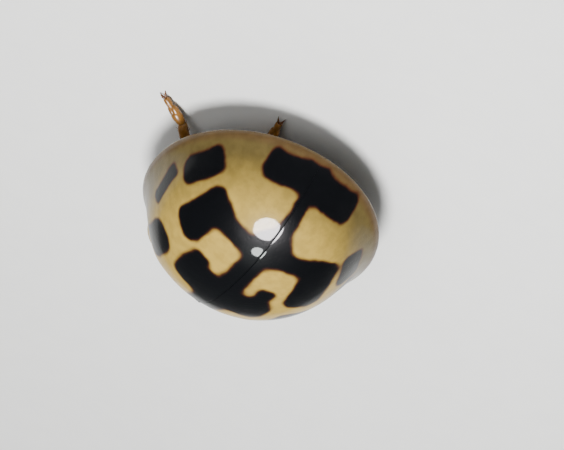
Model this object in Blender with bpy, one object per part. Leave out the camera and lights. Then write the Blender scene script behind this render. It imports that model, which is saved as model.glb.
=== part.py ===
"""Fourteen-spot ladybird standing on six feet, as closed solids.

The head points to -Y, the beetle's right side is at -X, and the floor is at Z = 0.
Plan positions are fractions of the half-width of the wing cases.
"""
import math

import bmesh
import bpy
from mathutils import Matrix, Vector

MM = 0.001
HALF_WIDTH = 1.75 * MM            # of the closed wing cases
GAP = 0.03 * MM                   # between neighbouring pieces
MARGIN_HEIGHT = 0.60 * MM         # underside of the wing cases above the floor
OVERSIZE = 4.0 * HALF_WIDTH       # reach of cutters that pass right through

# Wing cases, in half-widths
SHELL_FRONT = 1.12
SHELL_REAR = 1.15
SHELL_HEIGHT = 0.84
SHELL_SQUARENESS = 0.15           # added to the outline's exponent of 2 at the shoulders
SHELL_FULLNESS = 2.15             # exponent of the cross-section, 2 for an ellipse
RIM_WIDTH = 0.10                  # how far the border spreads past the dome
RIM_FLARE = 0.15                  # angle up the dome over which the border fades, in radians
RIM_EDGE = 0.035                  # thickness of the border's edge
BASE_MIDDLE = -0.85               # where the wing cases meet the pronotum on the midline
BASE_ARC = 2.0                    # radius of that joint in plan

# Scutellum, in half-widths
SCUTELLUM_RADIUS = 0.10
SCUTELLUM_Y = -0.805
SCUTELLUM_BOTTOM = 0.22
SCUTELLUM_BED = 0.02              # from the bottom of its notch to its own underside

# Body under the wing cases, in half-widths
CORE_RADII = (0.74, 0.81, 0.50)
CORE_Y = 0.08
BELLY_DEPTH = 0.035
WAIST_Y = -0.10                   # joint between thorax and abdomen
PROTHORAX_CENTRE = (0.0, -0.93, -0.04)
PROTHORAX_RADII = (0.46, 0.20, 0.035)

# Pronotum, in half-widths
PRONOTUM_Y = -0.70
PRONOTUM_RADII = (0.65, 0.67, 0.48)
PRONOTUM_SQUARENESS = 0.3
PRONOTUM_FULLNESS = 1.6
PRONOTUM_RIM_WIDTH = 0.05
PRONOTUM_EDGE = 0.04
COLLAR_RADIUS = 0.50              # hollow of the front edge around the head
COLLAR_Y = -1.70

# Head, in half-widths
HEAD_CENTRE = (0.0, -1.17, -0.04)
HEAD_RADII = (0.37, 0.26, 0.21)
FACE_NARROWING = 0.30             # share of the width lost at the front
FACE_DROP = 0.05
EYE_CENTRE = (0.265, -1.18, -0.01)
EYE_RADII = (0.10, 0.12, 0.125)
MOUTH_CENTRE = (0.0, -1.42, -0.16)
MOUTH_RADII = (0.15, 0.06, 0.06)

# Feelers and mouth feelers: routes in half-widths, thickness in metres
FEELER_ROUTE = ((0.15, -1.39, -0.05), (0.235, -1.48, -0.12), (0.31, -1.44, -0.16))
FEELER_RADII = (0.15 * MM, 0.17 * MM, 0.21 * MM)
PALP_ROUTE = ((0.12, -1.35, -0.22), (0.15, -1.45, -0.25))
PALP_RADII = (0.10 * MM, 0.13 * MM)

# Legs: plan positions in half-widths on the beetle's own side, heights and radii in metres
LEG_PLANS = {
    "front_right": ((0.22, -0.84), (0.60, -0.80), (0.65, -1.08), (0.57, -1.21)),
    "front_left": ((0.22, -0.84), (0.60, -0.84), (0.65, -1.12), (0.58, -1.26)),
    "middle_right": ((0.22, -0.42), (0.84, -0.03), (1.08, 0.15), (1.20, 0.20)),
    "middle_left": ((0.22, -0.42), (0.68, -0.50), (0.86, -0.53), (0.94, -0.50)),
    "hind_right": ((0.22, 0.02), (0.42, 0.34), (0.37, 0.62), (0.365, 0.77)),
    "hind_left": ((0.22, 0.02), (0.70, 0.02), (0.61, 0.29), (0.52, 0.42)),
}
LEG_HEIGHTS = (0.285 * MM, 0.30 * MM, 0.20 * MM, 0.16 * MM)
LEG_RADII = (0.22 * MM, 0.21 * MM, 0.19 * MM, 0.18 * MM)
HIP_REACH = 0.13 * MM             # from a hip's centre to its joint with the thigh
THIGH_SWELL = 0.06                # share added to a thigh's radius in the middle
ROD_BLUNTNESS = 0.4               # power that squares the ends of a rod

COLOURS = {
    "cream": ((0.62, 0.50, 0.27), 0.25),
    "black": ((0.012, 0.010, 0.009), 0.25),
    "eye": ((0.008, 0.008, 0.010), 0.15),
    "brown": ((0.36, 0.15, 0.045), 0.35),
    "dark_brown": ((0.06, 0.03, 0.018), 0.40),
}


def clear_scene():
    for item in list(bpy.data.objects):
        bpy.data.objects.remove(item, do_unlink=True)


def make_collection(name):
    collection = bpy.data.collections.new(name)
    bpy.context.scene.collection.children.link(collection)
    return collection


def make_material(name, colour_name):
    colour, roughness = COLOURS[colour_name]
    material = bpy.data.materials.new(name)
    material.use_nodes = True
    shader = material.node_tree.nodes["Principled BSDF"]
    shader.inputs["Base Color"].default_value = (*colour, 1.0)
    shader.inputs["Roughness"].default_value = roughness
    shader.inputs["Metallic"].default_value = 0.0
    return material


def body_point(x, y, z):
    """A place on the body, from half-widths to metres."""
    return Vector((x * HALF_WIDTH, y * HALF_WIDTH, MARGIN_HEIGHT + z * HALF_WIDTH))


def add_object(name, bm, collection):
    bmesh.ops.recalc_face_normals(bm, faces=bm.faces[:])
    mesh = bpy.data.meshes.new(name)
    bm.to_mesh(mesh)
    bm.free()
    item = bpy.data.objects.new(name, mesh)
    collection.objects.link(item)
    return item


def add_part(name, bm, colour_name, parts, root):
    item = add_object(name, bm, parts)
    item.data.shade_smooth()
    item.data.set_sharp_from_angle(angle=math.radians(40))
    item.data.materials.append(make_material(name, colour_name))
    item.parent = root
    return item


def add_cutter(name, bm, cutters, root):
    item = add_object(name, bm, cutters)
    item.hide_render = True
    item.display_type = "WIRE"
    item.parent = root
    return item


def cut(item, cutter, operation="DIFFERENCE"):
    modifier = item.modifiers.new(cutter.name, "BOOLEAN")
    modifier.object = cutter
    modifier.operation = operation
    modifier.solver = "EXACT"


def close_holes(bm):
    border = [item for item in bm.edges if item.is_boundary]
    bmesh.ops.edgeloop_fill(bm, edges=border)


def trim(bm, point, normal):
    """Cut off all that lies on the normal's side of a plane, and close the cut."""
    geometry = bm.verts[:] + bm.edges[:] + bm.faces[:]
    bmesh.ops.bisect_plane(bm, geom=geometry, plane_co=point, plane_no=normal, clear_outer=True)
    close_holes(bm)


def ball(centre, radii, segments, rings):
    """An ellipsoid; centre and radii in metres."""
    bm = bmesh.new()
    bmesh.ops.create_uvsphere(bm, u_segments=segments, v_segments=rings, radius=1.0)
    bmesh.ops.transform(bm, matrix=Matrix.Diagonal((*radii, 1.0)), verts=bm.verts[:])
    bmesh.ops.translate(bm, vec=centre, verts=bm.verts[:])
    return bm


def body_ball(centre, radii, grow, segments, rings):
    """An ellipsoid given in half-widths, with all its radii grown by a length in metres."""
    metres = [radius * HALF_WIDTH + grow for radius in radii]
    return ball(body_point(*centre), metres, segments, rings)


def upright_cylinder(x, y, radius, segments=96):
    """A tall cylinder for cutting the plan outline; all in metres."""
    bm = bmesh.new()
    sizes = {"radius1": radius, "radius2": radius, "depth": OVERSIZE}
    bmesh.ops.create_cone(bm, cap_ends=True, segments=segments, **sizes)
    bmesh.ops.translate(bm, vec=(x, y, 0.0), verts=bm.verts[:])
    return bm


def rod(start, end, start_radius, end_radius, swell=0.0, segments=12, rings=8):
    """A tapered rod between two points, a little swollen in the middle, with round ends past them."""
    bm = bmesh.new()
    bmesh.ops.create_uvsphere(bm, u_segments=segments, v_segments=rings, radius=1.0)
    axis = end - start
    cap = (start_radius + end_radius) / 2
    for vert in bm.verts:
        along = (vert.co.z + 1.0) / 2
        across = Vector((vert.co.x, vert.co.y, 0.0))
        width = start_radius + (end_radius - start_radius) * along
        width *= 1.0 + swell * (1.0 - vert.co.z ** 2)
        if across.length > 1e-6:
            across = across.normalized() * width * across.length ** ROD_BLUNTNESS
        vert.co = across + Vector((0.0, 0.0, along * (axis.length + 2 * cap) - cap))
    turn = axis.to_track_quat("Z", "Y").to_matrix().to_4x4()
    bmesh.ops.transform(bm, matrix=Matrix.Translation(start) @ turn, verts=bm.verts[:])
    return bm


def dome(radii, rear, squareness, fullness, rim_width, edge, segments, rings):
    """A half-dome with a flat underside and a flared border, in half-widths about its own centre."""
    bm = bmesh.new()
    bmesh.ops.create_uvsphere(bm, u_segments=segments, v_segments=rings, radius=1.0)
    lower = [vert for vert in bm.verts if vert.co.z < -1e-4]
    bmesh.ops.delete(bm, geom=lower, context="VERTS")
    width, front, height = radii
    for vert in bm.verts:
        plan = Vector((vert.co.x, vert.co.y))
        climb = min(1.0, max(0.0, vert.co.z))
        rise = (height - edge) * climb ** (2.0 / fullness)
        if plan.length > 1e-6:
            flare = rim_width * math.exp(-math.asin(climb) / RIM_FLARE)
            reach = (1.0 - rim_width) * plan.length ** (2.0 / fullness) + flare
            plan.normalize()
            length = front if plan.y < 0.0 else rear
            power = 2.0 + (squareness * reach if plan.y < 0.0 else 0.0)
            spread = abs(plan.x / width) ** power + abs(plan.y / length) ** power
            plan *= reach * spread ** (-1.0 / power)
        vert.co = (plan.x, plan.y, edge + rise)
    border = [item for item in bm.edges if item.is_boundary]
    skirt = bmesh.ops.extrude_edge_only(bm, edges=border)["geom"]
    lower = [item for item in skirt if isinstance(item, bmesh.types.BMVert)]
    bmesh.ops.translate(bm, vec=(0.0, 0.0, -edge), verts=lower)
    close_holes(bm)
    return bm


def place_on_body(bm, y=0.0, z=0.0):
    """Bring a shape made in half-widths to its size and place on the body."""
    bmesh.ops.scale(bm, vec=(HALF_WIDTH,) * 3, verts=bm.verts[:])
    bmesh.ops.translate(bm, vec=body_point(0.0, y, z), verts=bm.verts[:])
    return bm


def shell_dome():
    radii = (1.0, SHELL_FRONT, SHELL_HEIGHT)
    bm = dome(radii, SHELL_REAR, SHELL_SQUARENESS, SHELL_FULLNESS, RIM_WIDTH, RIM_EDGE, 44, 24)
    return place_on_body(bm)


def core_ball(grow):
    """The body under the wing cases; the same shape, grown, hollows them."""
    bm = body_ball((0.0, CORE_Y, 0.0), CORE_RADII, grow, 28, 12)
    belly = BELLY_DEPTH * HALF_WIDTH
    for vert in bm.verts:
        drop = MARGIN_HEIGHT - vert.co.z
        if drop > 0.0:
            vert.co.z = MARGIN_HEIGHT - drop * belly / (CORE_RADII[2] * HALF_WIDTH)
    return bm


def scutellum_prism(grow, bottom):
    bm = bmesh.new()
    radius = SCUTELLUM_RADIUS * HALF_WIDTH + grow
    sizes = {"radius1": radius, "radius2": radius, "depth": 2 * HALF_WIDTH}
    bmesh.ops.create_cone(bm, cap_ends=True, segments=3, **sizes)
    base = body_point(0.0, SCUTELLUM_Y, bottom)
    bmesh.ops.translate(bm, vec=base + Vector((0.0, 0.0, HALF_WIDTH)), verts=bm.verts[:])
    return bm


def build_shell(parts, cutters, root):
    hollow = add_cutter("shell_hollow", core_ball(GAP), cutters, root)
    arc_y = (BASE_MIDDLE - BASE_ARC) * HALF_WIDTH
    front = upright_cylinder(0.0, arc_y, BASE_ARC * HALF_WIDTH)
    front = add_cutter("shell_front", front, cutters, root)
    notch = scutellum_prism(GAP, SCUTELLUM_BOTTOM - SCUTELLUM_BED)
    notch = add_cutter("scutellum_notch", notch, cutters, root)
    for side, name in ((-1.0, "elytron_right"), (1.0, "elytron_left")):
        bm = shell_dome()
        trim(bm, (side * GAP / 2, 0.0, 0.0), (-side, 0.0, 0.0))
        item = add_part(name, bm, "cream", parts, root)
        cut(item, hollow)
        cut(item, front)
        cut(item, notch)
    outer = add_cutter("scutellum_top", shell_dome(), cutters, root)
    scutellum = add_part("scutellum", scutellum_prism(0.0, SCUTELLUM_BOTTOM), "black", parts, root)
    cut(scutellum, outer, "INTERSECT")
    cut(scutellum, front)


def build_body(parts, cutters, root, head_pocket):
    waist = body_point(0.0, WAIST_Y, 0.0)
    thorax = core_ball(0.0)
    trim(thorax, waist - Vector((0.0, GAP / 2, 0.0)), (0.0, 1.0, 0.0))
    thorax = add_part("thorax", thorax, "black", parts, root)
    abdomen = core_ball(0.0)
    trim(abdomen, waist + Vector((0.0, GAP / 2, 0.0)), (0.0, -1.0, 0.0))
    add_part("abdomen", abdomen, "black", parts, root)
    prothorax = body_ball(PROTHORAX_CENTRE, PROTHORAX_RADII, 0.0, 24, 10)
    trim(prothorax, body_point(0.0, 0.0, 0.0) - Vector((0.0, 0.0, GAP)), (0.0, 0.0, 1.0))
    prothorax = add_part("prothorax", prothorax, "black", parts, root)
    cut(prothorax, head_pocket)
    clearance = add_cutter("thorax_clearance", core_ball(GAP), cutters, root)
    cut(prothorax, clearance)


def build_pronotum(parts, cutters, root, head_pocket):
    outline = (PRONOTUM_RADII, PRONOTUM_RADII[1], PRONOTUM_SQUARENESS)
    bm = dome(*outline, PRONOTUM_FULLNESS, PRONOTUM_RIM_WIDTH, PRONOTUM_EDGE, 36, 16)
    item = add_part("pronotum", place_on_body(bm, PRONOTUM_Y), "cream", parts, root)
    arc_y = (BASE_MIDDLE - BASE_ARC) * HALF_WIDTH
    behind = upright_cylinder(0.0, arc_y, BASE_ARC * HALF_WIDTH - GAP)
    cut(item, add_cutter("pronotum_rear", behind, cutters, root), "INTERSECT")
    collar = upright_cylinder(0.0, COLLAR_Y * HALF_WIDTH, COLLAR_RADIUS * HALF_WIDTH, 48)
    cut(item, add_cutter("pronotum_collar", collar, cutters, root))
    cut(item, head_pocket)


def head_shape(grow):
    """The head: broad between the eyes and drawn in and down towards the mouth."""
    bm = body_ball(HEAD_CENTRE, HEAD_RADII, grow, 24, 14)
    centre = body_point(*HEAD_CENTRE)
    for vert in bm.verts:
        forward = (centre.y - vert.co.y) / (HEAD_RADII[1] * HALF_WIDTH)
        if forward > 0.0:
            vert.co.x *= 1.0 - FACE_NARROWING * forward ** 2
            vert.co.z -= FACE_DROP * HALF_WIDTH * forward ** 2
    return bm


def mirrored(point, side):
    return (side * point[0], point[1], point[2])


def build_head(parts, cutters, root, head_block):
    head = add_part("head", head_shape(0.0), "black", parts, root)
    mouth = body_ball(MOUTH_CENTRE, MOUTH_RADII, 0.0, 14, 8)
    mouth = add_part("labrum", mouth, "brown", parts, root)
    cut(mouth, head_block)
    for side, name in ((-1.0, "right"), (1.0, "left")):
        centre = mirrored(EYE_CENTRE, side)
        socket = body_ball(centre, EYE_RADII, GAP, 16, 10)
        cut(head, add_cutter("eye_socket_" + name, socket, cutters, root))
        add_part("eye_" + name, body_ball(centre, EYE_RADII, 0.0, 16, 10), "eye", parts, root)


def build_rod_chain(name, route, radii, colour_name, parts, root):
    """A feeler of tapered rods, joined into one closed body."""
    links = []
    for index in range(len(route) - 1):
        link = rod(route[index], route[index + 1], radii[index], radii[index + 1])
        links.append(link)
    base = add_part(name, links[0], colour_name, parts, root)
    return base, links[1:]


def build_feelers(parts, cutters, root, head_block):
    for side, name in ((-1.0, "right"), (1.0, "left")):
        route = [body_point(*mirrored(point, side)) for point in FEELER_ROUTE]
        base, links = build_rod_chain("antenna_" + name, route, FEELER_RADII, "brown", parts, root)
        for index, link in enumerate(links):
            cutter = add_cutter(f"antenna_link_{name}_{index}", link, cutters, root)
            cut(base, cutter, "UNION")
        cut(base, head_block)
        route = [body_point(*mirrored(point, side)) for point in PALP_ROUTE]
        palp, _ = build_rod_chain("palp_" + name, route, PALP_RADII, "brown", parts, root)
        cut(palp, head_block)


def leg_points(name):
    side = -1.0 if name.endswith("right") else 1.0
    points = []
    for (x, y), height in zip(LEG_PLANS[name], LEG_HEIGHTS):
        points.append(Vector((side * x * HALF_WIDTH, y * HALF_WIDTH, height)))
    return points


def build_leg(name, parts, root):
    hip, knee, ankle, tip = leg_points(name)
    thigh = (knee - hip).normalized()
    hip_joint = hip + thigh * HIP_REACH
    coxa = ball(hip, (LEG_RADII[0],) * 3, 12, 8)
    trim(coxa, hip_joint - thigh * GAP / 2, thigh)
    add_part("coxa_" + name, coxa, "dark_brown", parts, root)
    joints = (hip, knee, ankle, tip)
    planes = [(hip_joint, thigh)]
    for before, joint, after in ((hip, knee, ankle), (knee, ankle, tip)):
        bisector = (joint - before).normalized() + (after - joint).normalized()
        planes.append((joint, bisector.normalized()))
    for index, piece in enumerate(("femur", "tibia", "tarsus")):
        swell = THIGH_SWELL if piece == "femur" else 0.0
        bm = rod(joints[index], joints[index + 1], LEG_RADII[index], LEG_RADII[index + 1], swell)
        point, normal = planes[index]
        trim(bm, point + normal * GAP / 2, -normal)
        if index + 1 < len(planes):
            point, normal = planes[index + 1]
            trim(bm, point - normal * GAP / 2, normal)
        else:
            trim(bm, (0.0, 0.0, 0.0), (0.0, 0.0, -1.0))
        add_part(f"{piece}_{name}", bm, "brown", parts, root)


def centre_on_floor(root, parts):
    """Move the whole beetle so that the origin is at the middle of its box, on the floor."""
    bpy.context.view_layer.update()
    corners = [item.matrix_world @ Vector(corner) for item in parts.objects for corner in item.bound_box]
    middle_x = (min(corner.x for corner in corners) + max(corner.x for corner in corners)) / 2
    middle_y = (min(corner.y for corner in corners) + max(corner.y for corner in corners)) / 2
    root.location = (-middle_x, -middle_y, 0.0)


def main():
    clear_scene()
    parts = make_collection("ladybird")
    cutters = make_collection("ladybird_cutters")
    root = bpy.data.objects.new("ladybird_root", None)
    bpy.context.scene.collection.objects.link(root)
    head_pocket = add_cutter("head_pocket", head_shape(GAP), cutters, root)
    build_shell(parts, cutters, root)
    build_body(parts, cutters, root, head_pocket)
    build_pronotum(parts, cutters, root, head_pocket)
    build_head(parts, cutters, root, head_pocket)
    build_feelers(parts, cutters, root, head_pocket)
    for name in LEG_PLANS:
        build_leg(name, parts, root)
    centre_on_floor(root, parts)


main()
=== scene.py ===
"""A life-size still model of a cream and black ladybird, standing on six feet.

The head points to -Y, the beetle's right side is at -X, and the floor is at Z = 0.
Shapes are given as fractions of the half-width of the closed wing cases, about the middle
of their dome and the level of their lower edge.
"""
import math

import bmesh
import bpy
from bpy.props import FloatProperty, FloatVectorProperty, PointerProperty
from mathutils import Matrix, Vector


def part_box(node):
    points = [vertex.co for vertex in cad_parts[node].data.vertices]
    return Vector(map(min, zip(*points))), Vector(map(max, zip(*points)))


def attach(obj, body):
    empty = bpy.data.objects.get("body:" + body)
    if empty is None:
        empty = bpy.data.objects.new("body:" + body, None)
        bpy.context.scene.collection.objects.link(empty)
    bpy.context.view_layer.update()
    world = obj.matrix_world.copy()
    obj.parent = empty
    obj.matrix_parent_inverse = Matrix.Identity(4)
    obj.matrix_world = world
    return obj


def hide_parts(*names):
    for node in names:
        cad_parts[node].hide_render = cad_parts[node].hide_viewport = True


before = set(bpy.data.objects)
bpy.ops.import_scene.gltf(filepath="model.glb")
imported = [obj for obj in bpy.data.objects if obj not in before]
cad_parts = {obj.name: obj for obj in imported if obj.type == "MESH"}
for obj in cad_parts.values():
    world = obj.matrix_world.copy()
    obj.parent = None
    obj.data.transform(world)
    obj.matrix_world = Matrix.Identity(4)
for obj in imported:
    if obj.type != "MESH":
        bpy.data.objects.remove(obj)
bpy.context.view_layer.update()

bl_info = {
    "name": "Ladybird",
    "version": (1, 0, 0),
    "blender": (4, 5, 0),
    "location": "View3D > Sidebar > Ladybird",
    "description": "Builds the wing cases, head, feelers, underside and legs of a ladybird",
    "category": "Add Mesh",
}

RIGHT_LOW, RIGHT_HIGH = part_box("elytron_right")
LEFT_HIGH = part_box("elytron_left")[1]

# Wing cases, in half-widths
SHELL_FRONT = 1.12                # reach of the dome towards the head
SHELL_REAR = 1.15
SHELL_SQUARENESS = 0.15           # added to the outline's exponent of 2 at the shoulders
SHELL_FULLNESS = 2.15             # exponent of the cross-section, 2 for an ellipse
RIM_WIDTH = 0.10                  # how far the border spreads past the dome
RIM_FLARE = 0.15                  # angle up the dome over which the border fades, in radians
RIM_EDGE = 0.035                  # thickness of the border's edge
BASE_MIDDLE = -0.85               # front edge of the wing cases on the midline
BASE_BEND = 0.25                  # how fast that edge curves forward towards the sides
BASE_ROLL = 0.10                  # rounding of that edge
SHOULDER = (0.52, -0.70)          # middle of the low bump on each wing case
SHOULDER_RADIUS = 0.13
SHOULDER_RISE = 0.018
SEAM = 0.001                      # half the gap between the wing cases
SEAM_ROLL = 0.003
ROUNDING_LOOPS = (0.05, 0.18, 0.40, 0.7, 1.0)   # shares of a rounded edge, from its cut
ROLL_START = 0.05                 # height at which rounded edges begin
ROLL_FADE = 0.16                  # height over which they reach their full size
PLATE_THICKNESS = 0.022
SCUTELLUM_TIP = -0.70             # rear corner of the small triangle
SCUTELLUM_RISE = 0.010            # its height above the wing cases
SCUTELLUM_SIDES = (0.87, 0.5)     # which way its sides face, across and to the rear

UNIT = (LEFT_HIGH.x - RIGHT_LOW.x) / 2
MIDDLE_X = (LEFT_HIGH.x + RIGHT_LOW.x) / 2
MIDDLE_Y = RIGHT_HIGH.y - SHELL_REAR * UNIT
SHELL_FLOOR = RIGHT_LOW.z
SHELL_HEIGHT = (RIGHT_HIGH.z - RIGHT_LOW.z) / UNIT
FLOOR_LEVEL = -SHELL_FLOOR / UNIT
SIDES = (("right", -1.0), ("left", 1.0))

# Pronotum, the shield behind the head, in half-widths
PRONOTUM_Y = -0.70
PRONOTUM_RADII = (0.65, 0.67, 0.52)
PRONOTUM_SQUARENESS = 0.3
PRONOTUM_FULLNESS = 1.5
PRONOTUM_RIM_WIDTH = 0.05
PRONOTUM_EDGE = 0.04
PRONOTUM_ROLL = 0.015             # rounding of its rear edge
COLLAR_Y = -1.155                 # hollow front edge on the midline
COLLAR_BEND = 0.60
COLLAR_ROLL = 0.09
JOINT_LAP = 0.03                  # how far it reaches over the wing cases

# Head, in half-widths
HEAD_CENTRE = (0.0, -1.17, -0.04)
HEAD_RADII = (0.335, 0.26, 0.23)
FACE_NARROWING = 0.30             # share of the width lost at the front
FACE_DROP = 0.05
CLYPEUS_CENTRE = (0.0, -1.385, -0.163)
CLYPEUS_RADII = (0.150, 0.055, 0.026)
EYE_CENTRE = (0.265, -1.18, -0.01)
EYE_RADII = (0.10, 0.12, 0.125)
EYE_RING = 0.135                  # radius of the raised ring round each eye
FEELER_SOCKET = (0.165, -1.375, -0.075)
SOCKET_RADIUS = 0.048

# Underside, in half-widths
BELLY_WIDTHS = (0.45, 0.76, 0.86, 0.87, 0.83, 0.73, 0.55, 0.08)   # from the waist to the rear
BELLY_RINGS = 5
BREAST_WIDTHS = (0.44, 0.66, 0.76, 0.82, 0.82, 0.60)   # from the neck to the waist
ROOF_STEPS = ((1.0, 0.03), (0.99, 0.14), (0.93, 0.14), (0.78, 0.11), (0.5, 0.08))
ROOF_MIDDLE = (0.0, 0.08, 0.0)
RING_STEP = 0.010                 # how far each ring of the belly overhangs the next
RING_BEND = 0.05
UNDERSIDE_RISE = 0.015
PLATE_CREASE = 40                 # angle in degrees above which an edge stays sharp

UP = Vector((0.0, 0.0, 1.0))
SENSOR_WIDTH = 36.0               # of the camera, in millimetres
KEY_DIRECTION = (0.02, 0.335, 0.94)
AIM = (0.167, -0.117, 0.0)        # middle of the view, across and up, in half-widths

# Black marks of the wing cases on the flat map of the dome: middle, half size, turn in degrees
WING_MARKS = {
    "seam_front": ((-0.015, -0.34), (0.085, 0.30), 0),
    "seam": ((-0.01, 0.05), (0.068, 0.40), 0),
    "seam_knot": ((0.02, 0.36), (0.10, 0.09), 0),
    "seam_rear": ((0.025, 0.58), (0.046, 0.24), 0),
    "arm_right": ((-0.17, 0.318), (0.14, 0.055), -4),
    "arm_left": ((0.19, 0.337), (0.14, 0.056), 0),
    "front_right": ((-0.17, -0.09), (0.13, 0.115), 0),
    "front_lobe_right": ((-0.225, 0.00), (0.055, 0.075), 0),
    "front_left": ((0.15, -0.10), (0.125, 0.105), 0),
    "front_lobe_left": ((0.175, 0.03), (0.048, 0.08), 0),
    "shoulder_right": ((-0.485, -0.24), (0.105, 0.155), 0),
    "shoulder_left": ((0.485, -0.24), (0.105, 0.155), 0),
    "disc_right": ((-0.405, 0.255), (0.112, 0.18), -10),
    "disc_left": ((0.405, 0.215), (0.118, 0.19), 2),
    "side_right": ((-0.77, 0.03), (0.055, 0.155), 20),
    "side_left": ((0.77, 0.02), (0.055, 0.155), -20),
    "hind_right": ((-0.68, 0.41), (0.105, 0.175), -20),
    "hind_left": ((0.67, 0.33), (0.10, 0.14), 20),
    "tip_right": ((-0.19, 0.82), (0.19, 0.105), 12),
    "tip_left": ((0.22, 0.81), (0.22, 0.115), -9),
    "tip_join": ((0.0, 0.86), (0.12, 0.10), 0),
}
MARK_ROUNDNESS = 0.62             # radius of the corners, as a share of the smaller half size
MARK_MERGE = 0.08                 # distance over which neighbouring marks run together
MARK_WOBBLE = 0.045               # unevenness of their edges

# Black marks of the pronotum, seen from above: middle, half size, turn in degrees
PRONOTUM_MARKS = {
    "base": ((0.0, -0.88), (0.32, 0.10), 0),
    "inner_right": ((-0.10, -1.02), (0.075, 0.10), 10),
    "inner_left": ((0.10, -1.02), (0.075, 0.10), -10),
    "outer_right": ((-0.27, -0.98), (0.065, 0.08), -12),
    "outer_left": ((0.27, -0.98), (0.065, 0.08), 12),
    "dot_right": ((-0.46, -1.00), (0.045, 0.055), 0),
    "dot_left": ((0.46, -1.00), (0.045, 0.055), 0),
}

# Hip, knee, ankle and foot of each leg, on its own side
LEG_JOINTS = {
    "front_right": ((0.22, -0.84, -0.09), (0.57, -0.81, -0.11), (0.62, -1.07, -0.22), (0.53, -1.26, -0.32)),
    "front_left": ((0.22, -0.84, -0.09), (0.59, -0.84, -0.11), (0.64, -1.12, -0.22), (0.56, -1.31, -0.32)),
    "middle_right": ((0.22, -0.42, -0.09), (0.73, -0.08, -0.13), (0.97, 0.13, -0.24), (1.235, 0.225, -0.32)),
    "middle_left": ((0.22, -0.42, -0.09), (0.66, -0.46, -0.12), (0.80, -0.60, -0.24), (0.97, -0.51, -0.32)),
    "hind_right": ((0.22, 0.02, -0.09), (0.46, 0.32, -0.13), (0.33, 0.56, -0.25), (0.375, 0.79, -0.32)),
    "hind_left": ((0.22, 0.02, -0.09), (0.69, 0.00, -0.12), (0.63, 0.24, -0.24), (0.52, 0.44, -0.32)),
}
LEG_NODES = ("coxa", "femur", "tibia", "tarsus")
BRISTLES = 26                     # on each shin
BRISTLE_START = 0.16              # share of the shin above them
BRISTLE_STEP = 0.032              # from each to the next, as a share of the shin
BRISTLE_TURN = 2.4                # and round it, in radians

# Feelers: route, where each joint ends as a share of it, and the joints' radii
FEELER_PATH = (FEELER_SOCKET, (0.28, -1.53, -0.13), (0.365, -1.40, -0.19))
FEELER_JOINTS = (0.0, 0.19, 0.27, 0.34, 0.405, 0.47, 0.53, 0.59, 0.645, 0.765, 0.88, 1.0)
FEELER_WIDTHS = (0.030, 0.024, 0.017, 0.016, 0.016, 0.016, 0.017, 0.019, 0.032, 0.040, 0.037)
CLUB_START = 8                    # first joint of the club

# Routes of the two pairs of mouth feelers
JAW_FEELER = ((0.145, -1.34, -0.205), (0.20, -1.42, -0.235), (0.175, -1.48, -0.245), (0.12, -1.525, -0.25))
LIP_FEELER = ((0.055, -1.36, -0.245), (0.080, -1.41, -0.262), (0.070, -1.455, -0.268))


def place(x, y, z):
    """A point on the beetle, from half-widths to metres."""
    return Vector((MIDDLE_X + x * UNIT, MIDDLE_Y + y * UNIT, SHELL_FLOOR + z * UNIT))


def beside(point, side):
    """The same point on the beetle's right or left side."""
    return Vector((side * point[0], point[1], point[2]))


# ---- settings


def colour_setting(name, description, default):
    return FloatVectorProperty(
        name=name, description=description, default=default, size=3, min=0.0, max=1.0, subtype="COLOR"
    )


def angle_setting(name, description, degrees):
    return FloatProperty(name=name, description=description, default=math.radians(degrees), subtype="ANGLE")


class LadybirdColours(bpy.types.PropertyGroup):
    cream: colour_setting("Cream", "Wing cases and pronotum on the crown", (0.36, 0.244, 0.048))
    # Painted shade: the wing cases darkened and browned towards their border, where the dome turns away from
    # the light
    margin: colour_setting("Margin", "Wing cases towards their border", (0.085, 0.062, 0.020))
    rim: colour_setting("Rim", "Thin border of the wing cases", (0.075, 0.046, 0.018))
    mark: colour_setting("Marks", "Black marks", (0.0015, 0.0018, 0.0025))
    mark_edge: colour_setting("Mark edges", "Thin edge of the black marks", (0.05, 0.014, 0.006))
    leg: colour_setting("Legs", "Legs, feelers and mouthparts", (0.155, 0.068, 0.012))
    joint: colour_setting("Joints", "Darker joints and feet", (0.115, 0.043, 0.013))
    belly: colour_setting("Underside", "Breast and belly", (0.007, 0.0055, 0.005))


class LadybirdSurface(bpy.types.PropertyGroup):
    mark_growth: FloatProperty(
        name="Mark growth",
        description="How much further every black mark spreads, in half-widths",
        default=0.0,
        min=-0.05,
        max=0.1,
    )
    mark_softness: FloatProperty(
        name="Mark softness",
        description="Width of the edge of a black mark, in half-widths",
        default=0.022,
        min=0.002,
        max=0.1,
    )
    pit_depth: FloatProperty(
        name="Pit depth",
        description="Depth of the fine pits in the wing cases",
        default=0.0000012,
        min=0.0,
        subtype="DISTANCE",
        unit="LENGTH",
        precision=6,
    )
    leg_thickness: FloatProperty(
        name="Leg thickness",
        description="Share by which the legs are thickened",
        default=1.0,
        min=0.5,
        max=1.5,
        subtype="FACTOR",
    )


class LadybirdStage(bpy.types.PropertyGroup):
    azimuth: angle_setting("Azimuth", "Angle of the camera round the beetle, from the front", 195.7)
    elevation: angle_setting("Elevation", "Angle of the camera above the floor", 33.7)
    roll: angle_setting("Roll", "Turn of the camera about its own line of sight", 202.9)
    frame_width: FloatProperty(
        name="Frame width",
        description="Width of the picture at the beetle",
        default=0.00826,
        subtype="DISTANCE",
        unit="LENGTH",
        precision=5,
    )
    lens: FloatProperty(
        name="Lens",
        description="Focal length of the camera",
        default=400.0,
        subtype="DISTANCE_CAMERA",
    )
    floor: colour_setting("Floor", "Paint of the floor", (0.78, 0.78, 0.76))


# ---- shapes


def add_object(name, data):
    """A new object with that data, linked to the scene."""
    item = bpy.data.objects.new(name, data)
    bpy.context.scene.collection.objects.link(item)
    return item


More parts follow.
